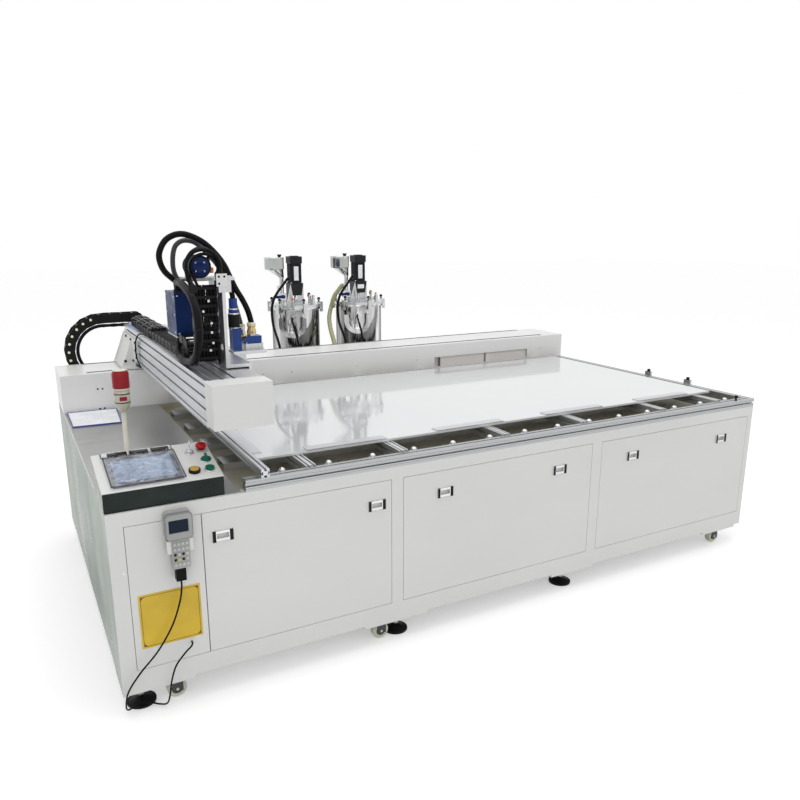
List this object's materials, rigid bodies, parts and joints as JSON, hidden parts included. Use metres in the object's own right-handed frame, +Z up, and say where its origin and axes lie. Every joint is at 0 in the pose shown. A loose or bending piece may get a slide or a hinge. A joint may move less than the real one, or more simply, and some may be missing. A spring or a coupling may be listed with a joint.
{
  "type": "gantry dispensing machine",
  "caption": "Large gantry dispensing machine: a white cabinet table with a travelling beam, a pump head, stirred supply tanks and a sloping control box.",
  "frame": {"origin": "bottom centre of the bounding box of everything except the free pendant cord, at floor level", "axes": "+X along the length from the control box to the far end, +Y from the front panels to the tanks, +Z up"},
  "size_m": [3.1, 2.3239, 1.603],
  "materials": {
    "cabinet_body": "white powder coat",
    "service_panel": "white powder coat",
    "deck_sheet": "brushed along its length",
    "drip_pan": "khaki primer",
    "table_frame": "anodised, matte",
    "ball_rollers": "polished balls in dark cups",
    "plate_stops": "anodised, matte",
    "work_plate": "white, smooth and slightly glossy",
    "rear_cover": "white powder coat",
    "drive_spine": "dark grey with ground rails",
    "x_chain_run": "black moulded",
    "undercarriage": "zinc plated",
    "control_box": "dark blue-grey",
    "touch_screen": "display glass",
    "tower_lamp": "red lens on a dark body",
    "tank_stand": "light grey",
    "tank_shells": "brushed stainless",
    "tank_lids": "stainless",
    "tank_motors": "black with silver gear case",
    "drive_cabinet": "zinc plate with dark drives",
    "vacuum_pump": "blue paint",
    "front_panel_1": "white powder coat, chrome pulls",
    "front_panel_2": "white powder coat, chrome pulls",
    "front_panel_3": "white powder coat, chrome pulls",
    "emergency_stop": "red",
    "start_button": "green",
    "reset_button": "yellow",
    "key_switch": "polished",
    "mode_knob": "green",
    "pendant": "grey with a clear sleeve",
    "agitator_1": "stainless",
    "agitator_2": "stainless",
    "valve_lever_1": "dark blue dipped",
    "valve_lever_2": "dark blue dipped",
    "caster_fork_1": "zinc plated",
    "caster_fork_2": "zinc plated",
    "caster_fork_3": "zinc plated",
    "caster_wheel_1": "ivory nylon tread on a dark hub",
    "caster_wheel_2": "ivory nylon tread on a dark hub",
    "caster_wheel_3": "ivory nylon tread on a dark hub",
    "caster_wheel_4": "ivory nylon tread on a dark hub",
    "caster_wheel_5": "ivory nylon tread on a dark hub",
    "caster_wheel_6": "ivory nylon tread on a dark hub",
    "gantry_beam": "anodised, matte",
    "y_module": "grey with light edge bands",
    "beam_end_box": "white powder coat",
    "gantry_bracket": "white powder coat",
    "x_chain_loop": "black moulded",
    "y_chain_run": "black moulded",
    "head_carriage": "anodised, matte",
    "electronics_box": "dark blue",
    "y_chain_loop": "black moulded",
    "z_servo": "blue-black",
    "pump_deck": "anodised, matte",
    "metering_pumps": "blue with brass unions",
    "mixing_nozzle": "milky mixer in a metal block",
    "pendant_cord": "black",
    "pump_hoses": "black corrugated",
    "head_conduit": "black",
    "tank_lines": "yellow-green hose and black cables"
  },
  "bodies": {
    "cabinet": {"cabinet_body": "cabinet_body", "service_panel": "service_panel", "deck_sheet": "deck_sheet", "drip_pan": "drip_pan", "table_frame": "table_frame", "ball_rollers": "ball_rollers", "plate_stops": "plate_stops", "work_plate": "work_plate", "rear_cover": "rear_cover", "drive_spine": "drive_spine", "x_chain_run": "x_chain_run", "undercarriage": "undercarriage", "control_box": "control_box", "touch_screen": "touch_screen", "tower_lamp": "tower_lamp", "tank_stand": "tank_stand", "tank_shells": "tank_shells", "tank_lids": "tank_lids", "tank_motors": "tank_motors", "drive_cabinet": "drive_cabinet", "vacuum_pump": "vacuum_pump", "tank_lines": "tank_lines", "pendant_cord": "pendant_cord"},
    "gantry": {"gantry_beam": "gantry_beam", "y_module": "y_module", "beam_end_box": "beam_end_box", "gantry_bracket": "gantry_bracket", "x_chain_loop": "x_chain_loop", "y_chain_run": "y_chain_run"},
    "head": {"head_carriage": "head_carriage", "electronics_box": "electronics_box", "y_chain_loop": "y_chain_loop", "z_servo": "z_servo", "pump_hoses": "pump_hoses", "head_conduit": "head_conduit"},
    "pump_slide": {"pump_deck": "pump_deck", "metering_pumps": "metering_pumps", "mixing_nozzle": "mixing_nozzle"},
    "panel_1": {"front_panel_1": "front_panel_1"},
    "caster_1": {"caster_fork_1": "caster_fork_1"},
    "panel_2": {"front_panel_2": "front_panel_2"},
    "caster_2": {"caster_fork_2": "caster_fork_2"},
    "panel_3": {"front_panel_3": "front_panel_3"},
    "caster_3": {"caster_fork_3": "caster_fork_3"},
    "wheel_1": {"caster_wheel_1": "caster_wheel_1"},
    "wheel_2": {"caster_wheel_2": "caster_wheel_2"},
    "wheel_3": {"caster_wheel_3": "caster_wheel_3"},
    "wheel_4": {"caster_wheel_4": "caster_wheel_4"},
    "wheel_5": {"caster_wheel_5": "caster_wheel_5"},
    "wheel_6": {"caster_wheel_6": "caster_wheel_6"},
    "emergency_stop_part": {"emergency_stop": "emergency_stop"},
    "start_button_part": {"start_button": "start_button"},
    "reset_button_part": {"reset_button": "reset_button"},
    "key_switch_part": {"key_switch": "key_switch"},
    "mode_knob_part": {"mode_knob": "mode_knob"},
    "programmer": {"pendant": "pendant"},
    "stirrer_1": {"agitator_1": "agitator_1"},
    "lever_1": {"valve_lever_1": "valve_lever_1"},
    "stirrer_2": {"agitator_2": "agitator_2"},
    "lever_2": {"valve_lever_2": "valve_lever_2"}
  },
  "joints": [
    {"name": "gantry_travel", "type": "slide", "parent": "cabinet", "child": "gantry", "axis": [1, 0, 0], "range_m": [-0.04, 2.3], "deforming": ["x_chain_run"]},
    {"name": "head_travel", "type": "slide", "parent": "gantry", "child": "head", "axis": [0, 1, 0], "range_m": [-0.02, 0.74], "deforming": ["y_chain_run"]},
    {"name": "pump_lift", "type": "slide", "parent": "head", "child": "pump_slide", "axis": [0, 0, 1], "range_m": [-0.1, 0], "deforming": ["pump_hoses"]},
    {"name": "panel_1_pull_off", "type": "slide", "parent": "cabinet", "child": "panel_1", "axis": [0, -1, 0], "range_m": [0, 0.15]},
    {"name": "panel_2_pull_off", "type": "slide", "parent": "cabinet", "child": "panel_2", "axis": [0, -1, 0], "range_m": [0, 0.15]},
    {"name": "panel_3_pull_off", "type": "slide", "parent": "cabinet", "child": "panel_3", "axis": [0, -1, 0], "range_m": [0, 0.15]},
    {"name": "emergency_stop_press", "type": "slide", "parent": "cabinet", "child": "emergency_stop_part", "axis": [0, -0.2186, 0.9758], "range_m": [-0.006, 0], "stiffness_N_per_m": 1500, "springref_m": 0.001},
    {"name": "start_button_press", "type": "slide", "parent": "cabinet", "child": "start_button_part", "axis": [0, -0.2186, 0.9758], "range_m": [-0.004, 0], "stiffness_N_per_m": 800, "springref_m": 0.001},
    {"name": "reset_button_press", "type": "slide", "parent": "cabinet", "child": "reset_button_part", "axis": [0, -0.2186, 0.9758], "range_m": [-0.004, 0], "stiffness_N_per_m": 800, "springref_m": 0.001},
    {"name": "key_turn", "type": "hinge", "parent": "cabinet", "child": "key_switch_part", "pos_m": [-1.236, -0.92045, 0.84622], "axis": [0, -0.2186, 0.9758], "range_deg": [0, 90]},
    {"name": "mode_turn", "type": "hinge", "parent": "cabinet", "child": "mode_knob_part", "pos_m": [-1.194, -0.98485, 0.83179], "axis": [0, -0.2186, 0.9758], "range_deg": [-45, 45]},
    {"name": "programmer_lift", "type": "slide", "parent": "cabinet", "child": "programmer", "axis": [0, 0, 1], "range_m": [0, 0.08], "deforming": ["pendant_cord"]},
    {"name": "stirrer_1_spin", "type": "hinge", "parent": "cabinet", "child": "stirrer_1", "pos_m": [-0.118, 0.968, 1], "axis": [0, 0, 1], "continuous": true},
    {"name": "valve_1_turn", "type": "hinge", "parent": "cabinet", "child": "lever_1", "pos_m": [-0.204, 0.946, 1.202], "axis": [0, 1, 0], "range_deg": [0, 90]},
    {"name": "stirrer_2_spin", "type": "hinge", "parent": "cabinet", "child": "stirrer_2", "pos_m": [0.323, 0.968, 1], "axis": [0, 0, 1], "continuous": true},
    {"name": "valve_2_turn", "type": "hinge", "parent": "cabinet", "child": "lever_2", "pos_m": [0.237, 0.946, 1.202], "axis": [0, 1, 0], "range_deg": [0, 90]},
    {"name": "caster_1_swivel", "type": "hinge", "parent": "cabinet", "child": "caster_1", "pos_m": [-1.366, -1.05, 0.08], "axis": [0, 0, 1], "continuous": true},
    {"name": "caster_2_swivel", "type": "hinge", "parent": "cabinet", "child": "caster_2", "pos_m": [-0.558, -1.05, 0.08], "axis": [0, 0, 1], "continuous": true},
    {"name": "caster_3_swivel", "type": "hinge", "parent": "cabinet", "child": "caster_3", "pos_m": [1.42, -1.05, 0.08], "axis": [0, 0, 1], "continuous": true},
    {"name": "wheel_1_roll", "type": "hinge", "parent": "caster_1", "child": "wheel_1", "pos_m": [-1.366, -1.05, 0.0355], "axis": [0, 1, 0], "continuous": true},
    {"name": "wheel_2_roll", "type": "hinge", "parent": "caster_2", "child": "wheel_2", "pos_m": [-0.558, -1.05, 0.0355], "axis": [0, 1, 0], "continuous": true},
    {"name": "wheel_3_roll", "type": "hinge", "parent": "caster_3", "child": "wheel_3", "pos_m": [1.42, -1.05, 0.0355], "axis": [0, 1, 0], "continuous": true},
    {"name": "wheel_4_roll", "type": "hinge", "parent": "cabinet", "child": "wheel_4", "pos_m": [-1.366, 0.616, 0.0355], "axis": [0, 1, 0], "continuous": true},
    {"name": "wheel_5_roll", "type": "hinge", "parent": "cabinet", "child": "wheel_5", "pos_m": [-0.558, 0.616, 0.0355], "axis": [0, 1, 0], "continuous": true},
    {"name": "wheel_6_roll", "type": "hinge", "parent": "cabinet", "child": "wheel_6", "pos_m": [1.42, 0.616, 0.0355], "axis": [0, 1, 0], "continuous": true}
  ]
}
